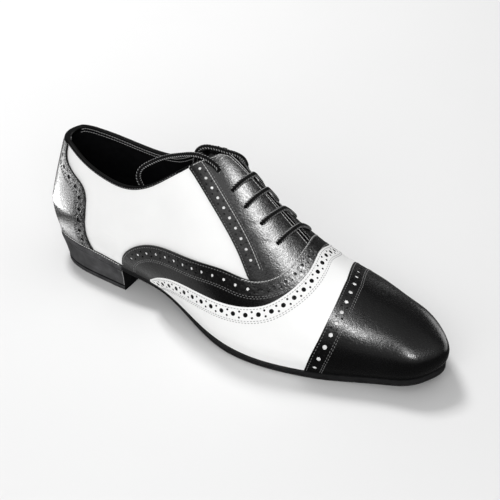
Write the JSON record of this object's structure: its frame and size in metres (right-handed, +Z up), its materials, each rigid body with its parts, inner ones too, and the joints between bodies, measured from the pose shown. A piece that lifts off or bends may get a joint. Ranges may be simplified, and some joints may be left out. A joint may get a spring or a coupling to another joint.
{
  "type": "dance shoe",
  "caption": "Low-heeled lace-up dance shoe with a white upper, black perforated toe cap, swooping wing, lace facings and heel counter on a thin leather sole.",
  "frame": {"origin": "middle of the shoe seen from above, on the floor that it stands on", "axes": "+X from heel to toe, +Z up, -Y towards the lateral side of this right shoe"},
  "size_m": [0.2912, 0.0998, 0.11],
  "materials": {
    "white_leather": "smooth white calf, low sheen",
    "black_leather": "polished black calf",
    "sole_leather": "black stained sole leather, matte",
    "heel_block": "dark grey satin heel",
    "heel_rubber": "black rubber, matte",
    "binding": "black binding, semi-matte",
    "lining": "black lining leather, matte",
    "lace": "flat woven waxed lace, black"
  },
  "bodies": {
    "root": {"outsole": "sole_leather", "heel_stack": "heel_block", "heel_top_piece": "heel_rubber", "insole": "lining", "upper": "white_leather", "vamp": "white_leather", "wing": "black_leather", "toe_cap": "black_leather", "heel_counter": "black_leather", "facing_lateral": "black_leather", "facing_medial": "black_leather", "collar_binding": "binding", "tongue": "black_leather", "lace_bar_1": "lace", "lace_bar_2": "lace", "lace_bar_3": "lace", "lace_bar_4": "lace", "lace_end_lateral": "lace", "lace_end_medial": "lace"}
  },
  "joints": []
}
